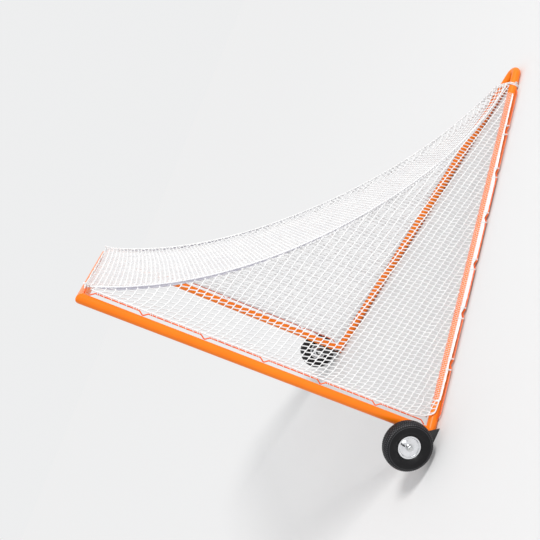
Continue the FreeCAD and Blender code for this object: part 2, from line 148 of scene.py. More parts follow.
def mat_rod():
    m, nt, b = new_mat("lacing_rail_paint")
    v = n_coord(nt, 1.0)
    big = n_noise(nt, v, 16.0, 4.0)
    fine = n_noise(nt, v, 420.0, 2.0)
    col = n_ramp(nt, big, [(0.2, (0.72, 0.085, 0.012)), (0.6, (0.86, 0.135, 0.014)), (0.9, (0.92, 0.18, 0.02))])
    nt.links.new(col, b.inputs["Base Color"])
    nt.links.new(n_range(nt, fine, 0.32, 0.5), b.inputs["Roughness"])
    n_bump(nt, b, fine, 0.15, 0.0003)
    b.inputs["Coat Weight"].default_value = 0.25
    b.inputs["Coat Roughness"].default_value = 0.2
    return m


def mat_zinc():
    m, nt, b = new_mat("zinc_plated_steel")
    v = n_coord(nt, 1.0)
    n1 = n_noise(nt, v, 60.0, 5.0)
    n2 = n_noise(nt, v, 700.0, 2.0)
    col = n_ramp(nt, n1, [(0.3, (0.56, 0.57, 0.58)), (0.7, (0.72, 0.73, 0.73))])
    nt.links.new(col, b.inputs["Base Color"])
    nt.links.new(n_range(nt, n1, 0.24, 0.40), b.inputs["Roughness"])
    n_bump(nt, b, n2, 0.12, 0.0002)
    b.inputs["Metallic"].default_value = 1.0
    return m


def mat_rim():
    m, nt, b = new_mat("rim_bright_metal")
    v = n_coord(nt, 1.0)
    n1 = n_noise(nt, v, 25.0, 4.0)
    n2 = n_noise(nt, v, 900.0, 2.0)
    col = n_ramp(nt, n1, [(0.3, (0.74, 0.75, 0.77)), (0.7, (0.86, 0.87, 0.89))])
    nt.links.new(col, b.inputs["Base Color"])
    nt.links.new(n_range(nt, n1, 0.16, 0.27), b.inputs["Roughness"])
    n_bump(nt, b, n2, 0.08, 0.0001)
    b.inputs["Metallic"].default_value = 1.0
    return m


def mat_black():
    m, nt, b = new_mat("bracket_black_enamel")
    v = n_coord(nt, 1.0)
    n1 = n_noise(nt, v, 40.0, 4.0)
    n2 = n_noise(nt, v, 500.0, 2.0)
    col = n_ramp(nt, n1, [(0.3, (0.012, 0.012, 0.013)), (0.75, (0.030, 0.030, 0.032))])
    nt.links.new(col, b.inputs["Base Color"])
    nt.links.new(n_range(nt, n2, 0.34, 0.52), b.inputs["Roughness"])
    n_bump(nt, b, n2, 0.2, 0.0003)
    b.inputs["Coat Weight"].default_value = 0.2
    b.inputs["Coat Roughness"].default_value = 0.3
    return m


def mat_tyre(name="tyre_black_rubber", lift=0.0):
    m, nt, b = new_mat(name)
    v = n_coord(nt, 1.0)
    n1 = n_noise(nt, v, 22.0, 5.0)
    n2 = n_noise(nt, v, 650.0, 3.0)
    col = n_ramp(nt, n1, [(0.25, (0.0035 + lift, 0.0035 + lift, 0.004 + 1.1 * lift)), (0.6, (0.006 + 1.2 * lift, 0.006 + 1.2 * lift, 0.007 + 1.35 * lift)),
                          (0.9, (0.016 + 1.5 * lift, 0.015 + 1.5 * lift, 0.015 + 1.5 * lift))])
    nt.links.new(col, b.inputs["Base Color"])
    nt.links.new(n_range(nt, n1, 0.30, 0.44), b.inputs["Roughness"])
    n_bump(nt, b, n2, 0.22, 0.0003)
    b.inputs["Specular IOR Level"].default_value = 0.22
    return m


def mat_tube():
    m, nt, b = new_mat("inner_tube_rubber")
    v = n_coord(nt, 1.0)
    n1 = n_noise(nt, v, 80.0, 3.0)
    col = n_ramp(nt, n1, [(0.3, (0.014, 0.014, 0.015)), (0.8, (0.03, 0.03, 0.03))])
    nt.links.new(col, b.inputs["Base Color"])
    nt.links.new(n_range(nt, n1, 0.55, 0.75), b.inputs["Roughness"])
    return m


def mat_twine(name, a, c, rough, yarn):
    m, nt, b = new_mat(name)
    v = n_coord(nt, 1.0)
    n1 = n_noise(nt, v, 9.0, 4.0)
    n2 = n_noise(nt, v, yarn, 2.0)
    col = n_ramp(nt, n1, [(0.25, a), (0.75, c)])
    nt.links.new(col, b.inputs["Base Color"])
    nt.links.new(n_range(nt, n2, rough - 0.08, rough + 0.1), b.inputs["Roughness"])
    n_bump(nt, b, n2, 0.35, 0.0004)
    b.inputs["Sheen Weight"].default_value = 0.25
    b.inputs["Sheen Roughness"].default_value = 0.5
    return m


M_PAINT = mat_paint()
M_ROD = mat_rod()
M_ZINC = mat_zinc()
M_RIM = mat_rim()
M_BLACK = mat_black()
M_TYRE = mat_tyre()
# lighter copy of the tyre rubber: painted highlight for the block tops and the shoulder rib
M_TYRE_PAINTED_HIGHLIGHT = mat_tyre("tyre_painted_highlight_rubber", 0.045)
M_TUBE = mat_tube()
M_NET = mat_twine("net_white_twine", (0.74, 0.74, 0.755), (0.82, 0.82, 0.82), 0.72, 900.0)
M_ROPE = mat_twine("border_white_cord", (0.76, 0.76, 0.77), (0.84, 0.84, 0.835), 0.75, 700.0)
# darker grey-lavender twine for the doubled seam band: painted shade, not the cord's own colour
M_SEAM_PAINTED_SHADE = mat_twine("seam_painted_shade_cord", (0.40, 0.39, 0.46), (0.56, 0.55, 0.61), 0.8, 700.0)

slot_of = {s["node"]: s["material_slot"] for s in frame["record"]["subparts"]}
BY_SLOT = {"frame_paint": M_PAINT, "zinc_steel": M_ZINC, "bracket_black": M_BLACK, "net_twine": M_NET,
           "net_rope": M_ROPE, "tyre_rubber": M_TYRE, "tube_rubber": M_TUBE, "rim_metal": M_RIM}
for node, ob in frame["nodes"].items():
    mat = BY_SLOT[slot_of[node]]
    if "lacing_rail" in node:
        mat = M_ROD
    ob.data.materials.clear()
    ob.data.materials.append(mat)


# --------------------------------------------------------------------------
# Mesh helpers
# --------------------------------------------------------------------------
def add_mesh(name, verts, faces, mat, body, smooth=True):
    me = bpy.data.meshes.new(name)
    verts = np.asarray(verts, float)
    faces = [tuple(int(i) for i in f) for f in faces]
    me.from_pydata(verts.tolist(), [], faces)
    me.materials.append(mat)
    me.polygons.foreach_set("use_smooth", [smooth] * len(me.polygons))
    me.update()
    ob = bpy.data.objects.new(name, me)
    bpy.context.scene.collection.objects.link(ob)
    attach(ob, body)
    return ob


def frames_along(P):
    """Tangents and two normals carried along a polyline without twist."""
    P = np.asarray(P, float)
    T = np.gradient(P, axis=0)
    T /= np.maximum(np.linalg.norm(T, axis=1, keepdims=True), 1e-12)
    ref = np.array([0.0, 0.0, 1.0]) if abs(T[0, 2]) < 0.9 else np.array([1.0, 0.0, 0.0])
    n = np.cross(T[0], ref)
    n /= np.linalg.norm(n)
    N = [n]
    for k in range(1, len(P)):
        n = N[-1] - T[k] * np.dot(N[-1], T[k])
        n /= np.linalg.norm(n)
        N.append(n)
    N = np.array(N)
    return T, N, np.cross(T, N)


def pipe(P, r, sides=8, caps=True):
    """Vertices and faces of a round tube along a polyline; r is one radius or one for each point."""
    P = np.asarray(P, float)
    T, N, B = frames_along(P)
    r = np.broadcast_to(np.asarray(r, float), (len(P),))
    a = np.linspace(0, 2 * math.pi, sides, endpoint=False)
    V = (P[:, None, :] + r[:, None, None] * (np.cos(a)[None, :, None] * N[:, None, :] + np.sin(a)[None, :, None] * B[:, None, :])).reshape(-1, 3)
    F = []
    for k in range(len(P) - 1):
        o = k * sides
        for j in range(sides):
            jj = (j + 1) % sides
            F.append((o + j, o + jj, o + sides + jj, o + sides + j))
    if caps:
        F.append(tuple(range(sides))[::-1])
        F.append(tuple(range((len(P) - 1) * sides, len(P) * sides)))
    return V, F


def gather(parts):
    V, F, o = [], [], 0
    for v, f in parts:
        V.append(v)
        F += [tuple(i + o for i in q) for q in f]
        o += len(v)
    return np.concatenate(V), F


def resample(P, step):
    P = np.asarray(P, float)
    d = np.r_[0, np.cumsum(np.linalg.norm(np.diff(P, axis=0), axis=1))]
    n = max(int(round(d[-1] / step)), 2)
    s = np.linspace(0, d[-1], n + 1)
    return np.stack([np.interp(s, d, P[:, k]) for k in range(3)], 1)


def smooth_path(P, step, passes):
    P = resample(P, step)
    for _ in range(passes):
        Q = P.copy()
        Q[1:-1] = 0.25 * P[:-2] + 0.5 * P[1:-1] + 0.25 * P[2:]
        P = Q
    return resample(P, step)


def twisted(P, r, lay, strands=3, sides=6):
    """Laid rope of overall radius r: strands wound round a path that has points 2 to 4 mm apart."""
    P = np.asarray(P, float)
    T, N, B = frames_along(P)
    d = np.r_[0, np.cumsum(np.linalg.norm(np.diff(P, axis=0), axis=1))]
    rs = r * 0.56
    ro = r - rs
    out = []
    for k in range(strands):
        a = d / lay * 2 * math.pi + k * 2 * math.pi / strands
        Q = P + ro * (np.cos(a)[:, None] * N + np.sin(a)[:, None] * B)
        out.append(pipe(Q, rs, sides))
    return out


def on_side(u, z, off=0.0, sx=-1.0):
    """A point of a side plane, in the row frame; off is outwards."""
    u, z, off = np.broadcast_arrays(*np.atleast_1d(u, z, off))
    x = -XP + CU * u - SU * off
    y = -SU * u - CU * off + Y0
    return np.stack([-sx * x, y, z.astype(float)], -1)


# --------------------------------------------------------------------------
# Route of the border cord and of the seams (left side; x is mirrored for the right)
# --------------------------------------------------------------------------
RP = R + ROPE_R + 0.0006
EDGE_Y, EDGE_X = -(R + RAIL_GAP + 2 * ROD_R + ROPE_R + 0.0007), 0.0065
RO = math.sqrt(RP * RP - 0.006 ** 2) + 0.0004


def bar_pt(u, n, zrel, sx):
    x = -XP + CU * u - SU * n
    y = -SU * u - CU * n + Y0
    return np.array([-sx * x, y, R + zrel])


def border_path(sx):
    s = -sx
    pts = [np.array([s * (-XP + EDGE_X), EDGE_Y + Y0, MOUTH - 0.006]),
           np.array([s * (-XP + EDGE_X), EDGE_Y + Y0, 0.150]),
           bar_pt(0.066, 0.014, 0.060, sx), bar_pt(0.092, RO + 0.0025, 0.014, sx),
           bar_pt(0.170, RO, 0.006, sx), bar_pt(LBAR - 0.250, RO, 0.006, sx)]
    return smooth_path(pts, 0.003, 40)


U_TOP, Z_TOP = 0.066, MOUTH + 0.008
U_END, Z_END = LBAR - 0.178, 0.0688
sl = math.hypot(U_END - U_TOP, Z_TOP - Z_END)
S_IN = ((Z_END - Z_TOP) / sl, -(U_END - U_TOP) / sl)


def seam_uz(t):
    t = np.asarray(t, float)
    w = 4 * t * (1 - t) * (1 - 0.1 * (t - 0.5) + (t - 0.5) ** 2)
    return U_TOP + (U_END - U_TOP) * t + S_IN[0] * SAG * w, Z_TOP + (Z_END - Z_TOP) * t + S_IN[1] * SAG * w


Z_LOW = 0.0518
U_EDGE, U_NET = 0.046, 0.066
WRAP = R + 0.0026


def side_map(u, v, sx):
    """The side net's sheet: up from the top of the base bar for v > 0, round the tube's outer side for v < 0."""
    u, v = np.asarray(u, float), np.asarray(v, float)
    a = np.clip(-v, 0, None) / WRAP
    off = np.where(v < 0, WRAP * np.sin(a), 0.0)
    z = np.where(v < 0, R + WRAP * np.cos(a), Z_LOW + v)
    X = on_side(u, z, off, sx)
    # the front edge runs from the panel's plane to the border cord behind the rail
    k = (np.clip((U_NET - u) / (U_NET - U_EDGE), 0, 1) * (v > -0.001))[..., None]
    p0 = on_side(np.full_like(z, U_NET), z, 0.0 * z, sx)
    p1 = np.stack([np.full_like(z, -sx * (-XP + EDGE_X)), np.full_like(z, EDGE_Y + Y0), z], -1)
    return X * (k == 0) + (p0 + (p1 - p0) * k) * (k > 0)


# --------------------------------------------------------------------------
# Netting: a lattice with joined crossings, cut to an outline, then hung
# --------------------------------------------------------------------------
def inside(poly, P):
    x, y = P[:, 0], P[:, 1]
    res = np.zeros(len(P), bool)
    n = len(poly)
    for k in range(n):
        x1, y1 = poly[k]
        x2, y2 = poly[(k + 1) % n]
        c = ((y1 > y) != (y2 > y)) & (x < (x2 - x1) * (y - y1) / (y2 - y1 + 1e-15) + x1)
        res ^= c
    return res


def lattice(poly, a, b, leg):
    """Nodes and links of the netting inside poly: crossings a apart one way and b the other, each joined over a length leg
    along b. A link that crosses the outline ends on it."""
    poly = np.asarray(poly, float)
    a, b = np.array(a, float), np.array(b, float)
    lo, hi = poly.min(0), poly.max(0)
    inv = np.linalg.inv(np.stack([a, b], 1))
    box = np.array([[lo[0], lo[1]], [hi[0], lo[1]], [hi[0], hi[1]], [lo[0], hi[1]]]) @ inv.T
    m0, n0 = np.floor(box.min(0)).astype(int) - 1
    m1, n1 = np.ceil(box.max(0)).astype(int) + 1
    half = b / np.linalg.norm(b) * leg / 2
    idx, P = {}, []
    for n in range(n0, n1 + 1):
        for m in range(m0, m1 + 1):
            c = m * a + n * b + 0.0011
            if c[0] < lo[0] - 0.06 or c[0] > hi[0] + 0.06 or c[1] < lo[1] - 0.06 or c[1] > hi[1] + 0.06:
                continue
            idx[(m, n, 0)] = len(P)
            P.append(tuple(c - half))
            idx[(m, n, 1)] = len(P)
            P.append(tuple(c + half))
    P = np.array(P)
    E, K = [], []
    for (m, n, w), i in idx.items():
        if w == 0:
            E.append((i, idx[(m, n, 1)]))
            K.append(1)
        else:
            for q in ((m + 1, n, 0), (m, n + 1, 0)):
                j = idx.get(q)
                if j is not None:
                    E.append((i, j))
                    K.append(0)
    ins = inside(poly, P)
    P = list(map(tuple, P))
    E2, K2, edge_nodes = [], [], []
    seg_a, seg_b = poly, np.roll(poly, -1, 0)
    for (a, b), k in zip(E, K):
        if ins[a] and ins[b]:
            E2.append((a, b))
            K2.append(k)
        elif ins[a] != ins[b]:
            p, q = (np.array(P[a]), np.array(P[b])) if ins[a] else (np.array(P[b]), np.array(P[a]))
            d = q - p
            e = seg_b - seg_a
            den = d[0] * e[:, 1] - d[1] * e[:, 0]
            den = np.where(abs(den) < 1e-15, 1e-15, den)
            w = seg_a - p
            t = (w[:, 0] * e[:, 1] - w[:, 1] * e[:, 0]) / den
            s = (w[:, 0] * d[1] - w[:, 1] * d[0]) / den
            ok = (t >= 0) & (t <= 1) & (s >= 0) & (s <= 1)
            if not ok.any():
                continue
            tt = t[ok].min()
            P.append(tuple(p + d * tt))
            c = len(P) - 1
            edge_nodes.append(c)
            E2.append(((a if ins[a] else b), c))
            K2.append(k)
    used = sorted({i for e in E2 for i in e})
    ren = {o: n for n, o in enumerate(used)}
    P = np.array([P[i] for i in used])
    E2 = np.array([(ren[a], ren[b]) for a, b in E2])
    pins = np.array([ren[i] for i in edge_nodes if i in ren])
    return P, E2, np.array(K2), pins


def hang(X, E, pins, slack, g, steps, spread=0.05):
    """Lets the netting settle between its pinned edge: links of slightly uneven length pull, gravity bears on them."""
    X = X.copy()
    n = len(X)
    i, j = E[:, 0], E[:, 1]
    L = np.linalg.norm(X[i] - X[j], axis=1) * (slack + spread * (rng.random(len(E)) - 0.5) * 2)
    free = np.ones(n)
    free[pins] = 0.0
    wsum = free[i] + free[j]
    wsum = np.where(wsum == 0, 1, wsum)
    cnt = np.bincount(i, minlength=n) + np.bincount(j, minlength=n)
    cnt = np.maximum(cnt, 1)
    prev = X.copy()
    gv = np.array(g)
    for _ in range(steps):
        vel = (X - prev) * 0.96
        prev = X.copy()
        X = X + (vel + gv) * free[:, None]
        for _k in range(3):
            d = X[j] - X[i]
            ln = np.maximum(np.linalg.norm(d, axis=1), 1e-9)
            c = (ln - L) / ln / wsum
            c = np.where(c > 0, c, 0.25 * c)[:, None] * d
            ci, cj = c * free[i][:, None], -c * free[j][:, None]
            D = np.stack([np.bincount(i, ci[:, k], n) + np.bincount(j, cj[:, k], n) for k in range(3)], 1)
            X = X + D / cnt[:, None] * 1.5
    return X


def net_mesh(name, X, E, K, r, rk, body, node, knot_sides=5):
    """Round twine for every link: two lengths with a slight bow for a plain link, a swelling for a joined crossing."""
    A, B = X[E[:, 0]], X[E[:, 1]]
    d = B - A
    ln = np.maximum(np.linalg.norm(d, axis=1, keepdims=True), 1e-9)
    t = d / ln
    ref = np.where(abs(t[:, [0]]) < 0.8, np.array([[1.0, 0, 0]]), np.array([[0, 1.0, 0]]))
    n = np.cross(t, ref)
    n /= np.linalg.norm(n, axis=1, keepdims=True)
    b = np.cross(t, n)
    V, F, o = [], [], 0
    bow = (rng.random((len(E), 3)) - 0.5) * 0.0016
    for kind, stations, radii, sides in ((0, (-0.02, 0.5, 1.02), (1.0, 0.96, 1.0), 4),
                                         (1, (-0.22, 0.2, 0.8, 1.22), (0.55, 1.0, 1.0, 0.55), knot_sides)):
        m = np.nonzero(K == kind)[0]
        if not len(m):
            continue
        ang = np.linspace(0, 2 * math.pi, sides, endpoint=False) + 0.4
        rr = r if kind == 0 else rk
        rings = []
        for s, q in zip(stations, radii):
            c = A[m] + d[m] * s
            if kind == 0 and s == 0.5:
                c = c + bow[m]
            rings.append(c[:, None, :] + rr * q * (np.cos(ang)[None, :, None] * n[m][:, None, :] + np.sin(ang)[None, :, None] * b[m][:, None, :]))
        W = np.stack(rings, 1)                       # link, ring, side, xyz
        nl, nr = W.shape[:2]
        V.append(W.reshape(-1, 3))
        base = o + np.arange(nl)[:, None, None, None] * nr * sides
        k = np.arange(nr - 1)[None, :, None, None] * sides
        q = np.arange(sides)
        quad = np.stack([q, (q + 1) % sides, (q + 1) % sides + sides, q + sides], 1)[None, None]
        F.append((base + k + quad).reshape(-1, 4))
        o += nl * nr * sides
    V, F = np.concatenate(V), np.concatenate(F)
    me = bpy.data.meshes.new(name)
    me.vertices.add(len(V))
    me.vertices.foreach_set("co", V.ravel())
    me.loops.add(F.size)
    me.loops.foreach_set("vertex_index", F.ravel().astype(np.int32))
    me.polygons.add(len(F))
    me.polygons.foreach_set("loop_start", np.arange(0, F.size, 4, dtype=np.int32))
    me.polygons.foreach_set("use_smooth", np.ones(len(F), bool))
    me.update(calc_edges=True)
    me.validate()
    me.materials.append(M_NET)
    ob = bpy.data.objects.new(name, me)
    bpy.context.scene.collection.objects.link(ob)
    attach(ob, body)
    if node:
        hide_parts(node)
    return ob


def poly_area(p):
    p = np.asarray(p)
    x, y = p[:, 0], p[:, 1]
    return 0.5 * abs(np.dot(x, np.roll(y, -1)) - np.dot(y, np.roll(x, -1)))


STEPS = 260
ts = np.linspace(0, 1, 61)
su, sz = seam_uz(ts)
side_poly = [(U_EDGE, Z_TOP - Z_LOW - 0.004)] + [(a, b - Z_LOW) for a, b in zip(su, sz)]
side_poly += [(U_END, 0.001), (0.185, 0.001), (0.155, -0.030), (0.110, -0.036), (0.084, -0.020), (0.066, 0.012), (0.052, 0.050), (U_EDGE, 0.095)]

panels, hems = {}, {}
for sx, side in ((-1.0, "left"), (1.0, "right")):
    P, E, K, pins = lattice(side_poly, (0.0, 0.0365), (0.0235, -0.0088), 0.0095)
    X = side_map(P[:, 0], P[:, 1], sx)
    rope = border_path(sx)
    # pins on the outline below and beside go on to the border cord, the others stay on the seam
    pu, pv = P[pins, 0], P[pins, 1]
    on_rope = (pu < 0.054) & (pv < 1.76) | (pv < -0.002) | ((pu < 0.12) & (pv < 0.06))
    for k in pins[on_rope]:
        X[k] = rope[np.argmin(((rope - X[k]) ** 2).sum(1))]
    if STEPS:
        wrap_nodes = np.nonzero(P[:, 1] < 0.012)[0]          # the netting lies on the tube here
        X = hang(X, E, np.union1d(pins, wrap_nodes), 1.003, (0, 0.0000012, -0.000003), STEPS, 0.035)
    ob = net_mesh("net_%s_panel_twine" % side, X, E, K, 0.0030, 0.0040, "frame", "net_%s_panel" % side)
    panels[side] = (ob, poly_area(side_poly))
    # the net's lower edge, its meshes drawn together where it goes round the tube to the cord
    hem_poly = [(0.150, 0.004), (LBAR - 0.236, 0.004), (LBAR - 0.250, -0.0380), (0.160, -0.0380)]
    P, E, K, pins = lattice(hem_poly, (0.0128, 0.0), (0.0040, -0.0084), 0.0030)
    X = side_map(P[:, 0], P[:, 1], sx)
    hem = net_mesh("net_%s_hem" % side, X, E, K, 0.0007, 0.0011, "frame", None)
    hems[side] = hem

# back panel: level rows between the seams, from the crossbar down to the nose
su, sz = seam_uz(ts)
row_y = -SU * su
row_z = sz.copy()
row_w = XP - CU * su
row_y[0], row_z[0], row_w[0] = -0.060, ZC - 0.010, XP - CU * 0.062
head_y, head_z = np.array([EDGE_Y]), np.array([ZC + 0.0063])
yy, zz, ww = np.r_[head_y, row_y], np.r_[head_z, row_z], np.r_[[MOUTH / 2 - 0.014], row_w]
ss = np.r_[0, np.cumsum(np.hypot(np.diff(yy), np.diff(zz)))]
S_END = ss[-1]
back_poly = [(-w, -s) for w, s in zip(ww, ss)] + [(w, -s) for w, s in zip(ww[::-1], ss[::-1])]
P, E, K, pins = lattice(back_poly, (0.0365, 0.0), (0.0090, -0.0235), 0.0095)
s_ = np.clip(-P[:, 1], 0, S_END)
X = np.stack([P[:, 0], np.interp(s_, ss, yy) + Y0, np.interp(s_, ss, zz)], 1)
wl = np.interp(s_, ss, ww)
X[:, 2] -= 0.010 * np.clip(1 - (P[:, 0] / np.maximum(wl, 1e-6)) ** 2, 0, 1) * np.clip(wl / 0.9, 0, 1)
if STEPS:
    X = hang(X, E, pins, 1.002, (0, 0.0000015, -0.000005), STEPS, 0.035)
ob = net_mesh("net_back_panel_twine", X, E, K, 0.0029, 0.0038, "frame", "net_back_panel", 4)
panels["back"] = (ob, poly_area(back_poly))
print("nets", {k: (len(v[0].data.polygons), round(v[1], 3)) for k, v in panels.items()})

# --------------------------------------------------------------------------
# Cords: border, seams, lacing
# --------------------------------------------------------------------------
for sx, side in ((-1.0, "left"), (1.0, "right")):
    rope = border_path(sx)
    V, F = gather(twisted(rope, ROPE_R, 0.024))
    ob = add_mesh("%s_border_cord" % side, V, F, M_ROPE, "frame")
    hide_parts("%s_border_rope" % side)

xr = np.array([[-MOUTH / 2 + 0.012, EDGE_Y + Y0, ZC + 0.0063], [MOUTH / 2 - 0.012, EDGE_Y + Y0, ZC + 0.0063]])
V, F = gather(twisted(resample(xr, 0.003), ROPE_R, 0.024))
ob = add_mesh("top_border_cord", V, F, M_ROPE, "frame")
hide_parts("top_border_rope")

def taper(t, stops):
    return np.interp(t, [q[0] for q in stops], [q[1] for q in stops])


seams = {}
for sx, side in ((-1.0, "left"), (1.0, "right")):
    t = np.linspace(0, 1, 700)
    a, b = seam_uz(t)
    P3 = on_side(a, b, 0.0, sx)
    seam_len = float(np.linalg.norm(np.diff(P3, axis=0), axis=1).sum())
    P3 = resample(P3, 0.0045)
    core = twisted(P3, 0.0042, 0.030)
    T, N, B = frames_along(P3)
    d = np.r_[0, np.cumsum(np.linalg.norm(np.diff(P3, axis=0), axis=1))]
    w = d / 0.020 * 2 * math.pi
    wind = P3 + 0.0060 * (np.cos(w)[:, None] * N + np.sin(w)[:, None] * B)
    wind = resample(wind, 0.004)
    V, F = gather(core + [pipe(wind, 0.0016, 5)])
    seams[side] = add_mesh("%s_seam_cord" % side, V, F, M_ROPE, "frame")
    parts = []
    # the joined edges of the two panels are doubled below the cord, widest near the crossbar; the doubled band's
    # grey-lavender colour is painted shade
    tt = d / d[-1]
    wide = taper(tt, [(0, 0.15), (0.035, 1.0), (0.15, 1.0), (0.30, 0.55), (0.55, 0.25), (1.0, 0.10)])
    for k, q in enumerate((0.0045, 0.0090, 0.0135)):
        wob = 0.0008 * np.sin(d / 0.031 * 2 * math.pi + 2.1 * k)
        a2, b2 = seam_uz(tt)
        off = 0.0018 * math.cos(2.0 * k)
        Q = on_side(a2 + S_IN[0] * (q * wide + wob), b2 + S_IN[1] * (q * wide + wob), off, sx)
        parts.append(pipe(Q, 0.0012 + 0.0018 * wide, 6))
    V, F = gather(parts)
    add_mesh("%s_seam_band_painted_shade" % side, V, F, M_SEAM_PAINTED_SHADE, "frame")


# the lacing: a thin cord wound round the rail and the border cord together, with tight turns beside each dip
def wound(path_a, path_b, ra, rb, pitch, rc, tight=0.020, turns=2.0):
    """Winding round two rods side by side; path_a and path_b have the same number of points."""
    c = (path_a + path_b) / 2
    w = path_b - path_a
    wl = np.linalg.norm(w, axis=1, keepdims=True)
    w = w / wl
    d = np.r_[0, np.cumsum(np.linalg.norm(np.diff(c, axis=0), axis=1))]
    L = d[-1]
    # phase runs fast at both ends and slowly in between
    fast = turns * 2 * math.pi
    ph = np.where(d < tight, d / tight * fast, np.where(d > L - tight, fast + (L - 2 * tight) / pitch * 2 * math.pi + (d - L + tight) / tight * fast,
                                                        fast + (d - tight) / pitch * 2 * math.pi))
    T = np.gradient(c, axis=0)
    T /= np.linalg.norm(T, axis=1, keepdims=True)
    n = np.cross(T, w)
    a1 = wl / 2 + max(ra, rb) + rc
    b1 = max(ra, rb) + rc + 0.0002
    return c + a1 * np.cos(ph)[:, None] * w + b1 * np.sin(ph)[:, None] * n


def straight(p, q, step=0.0015):
    p, q = np.asarray(p, float), np.asarray(q, float)
    n = int(np.linalg.norm(q - p) / step) + 2
    return p + (q - p) * np.linspace(0, 1, n)[:, None]


gathered = {}
post_dips = [0.0] + [(k + 1) * PITCH - 2 * R for k in range(5)] + [MOUTH - 0.076]
far = R + ROD_R + RAIL_GAP
for sx, side in ((-1.0, "left"), (1.0, "right")):
    parts = []
    for a, b in zip(post_dips[:-1], post_dips[1:]):
        z0, z1 = MOUTH - a - RAMP - 0.006, MOUTH - b + RAMP + 0.006
        if z1 < 0.150:
            z1 = 0.150
        rod = straight([sx * XP, -far + Y0, z0], [sx * XP, -far + Y0, z1])
        edge = straight([sx * (XP - EDGE_X), EDGE_Y + Y0, z0], [sx * (XP - EDGE_X), EDGE_Y + Y0, z1])
        parts.append(pipe(wound(rod, edge, ROD_R, ROPE_R, 0.036, 0.0013), 0.0013, 5))
    # base: round the outer cord and the low rail
    near_n = math.sqrt((R + ROD_R) ** 2 - 0.0104 ** 2)
    first_u, last_u = 0.076, 0.076 + 7 * PITCH - 0.095
    bp = (last_u - first_u) / 7
    near_c = near_n + RAIL_GAP
    for k in range(7):
        for u0, u1 in ((first_u + k * bp + RAMP + 0.004, first_u + k * bp + RAMP + 0.013),
                       (first_u + (k + 1) * bp - RAMP - 0.013, first_u + (k + 1) * bp - RAMP - 0.004)):
            if u0 < 0.176 or u1 > LBAR - 0.256:
                continue
            rod = straight(bar_pt(u0, near_c, -0.0104, sx), bar_pt(u1, near_c, -0.0104, sx), 0.0004)
            edge = straight(bar_pt(u0, RO, 0.006, sx), bar_pt(u1, RO, 0.006, sx), 0.0004)
            parts.append(pipe(wound(rod, edge, ROD_R, ROPE_R, 0.0042, 0.0013, 0.0001, 0.0), 0.0013, 5))
    V, F = gather(parts)
    add_mesh("%s_lacing_cord" % side, V, F, M_ROPE, "frame")
    # the gathered edge of the net between the border cord and the rail
    parts = []
    uu = np.arange(0.168, LBAR - 0.258, 0.004)
    dips = first_u + bp * np.arange(8)
    near_dip = np.exp(-(np.min(np.abs(uu[:, None] - dips[None]), 1) / 0.022) ** 2)
    full = taper(uu, [(0.16, 0.35), (0.45, 0.60), (0.80, 1.0), (1.45, 1.0), (1.70, 0.50), (2.1, 0.22)])
    for k, q in enumerate((0.265, 0.49, 0.715)):
        wob = 0.0006 * np.sin(uu / (0.047 + 0.006 * k) * 2 * math.pi + 1.7 * k)
        f = np.maximum(q * full * (1 - 0.65 * near_dip), 0.20 - 0.012 * k)
        nn = RO + (near_c - RO) * f + wob
        zz = 0.006 + (-0.0104 - 0.006) * f + 0.0006 * np.cos(uu / 0.039 * 2 * math.pi + k)
        Q = np.array([bar_pt(u, n, z, sx) for u, n, z in zip(uu, nn, zz)])
        parts.append(pipe(Q, 0.0013 + 0.0013 * full, 7))
    V, F = gather(parts)
    gathered[side] = add_mesh("%s_gathered_edge" % side, V, F, M_ROPE, "frame")
parts = []
for k in range(6):
    x0, x1 = -MOUTH / 2 + k * PITCH + RAMP + 0.006, -MOUTH / 2 + (k + 1) * PITCH - RAMP - 0.006
    rod = straight([x0, -far + Y0, ZC], [x1, -far + Y0, ZC])
    edge = straight([x0, EDGE_Y + Y0, ZC + 0.0063], [x1, EDGE_Y + Y0, ZC + 0.0063])
    parts.append(pipe(wound(rod, edge, ROD_R, ROPE_R, 0.036, 0.0013), 0.0013, 5))
V, F = gather(parts)
add_mesh("top_lacing_cord", V, F, M_ROPE, "frame")


# the flat size of the piece each of the three panels of netting is cut from, printed
for side in ("left", "right"):
    ob, ar = panels[side]
ob, ar = panels["back"]
print("areas", {k: round(v[1], 3) for k, v in panels.items()}, "back length", round(S_END, 3), "seam", round(seam_len, 3))


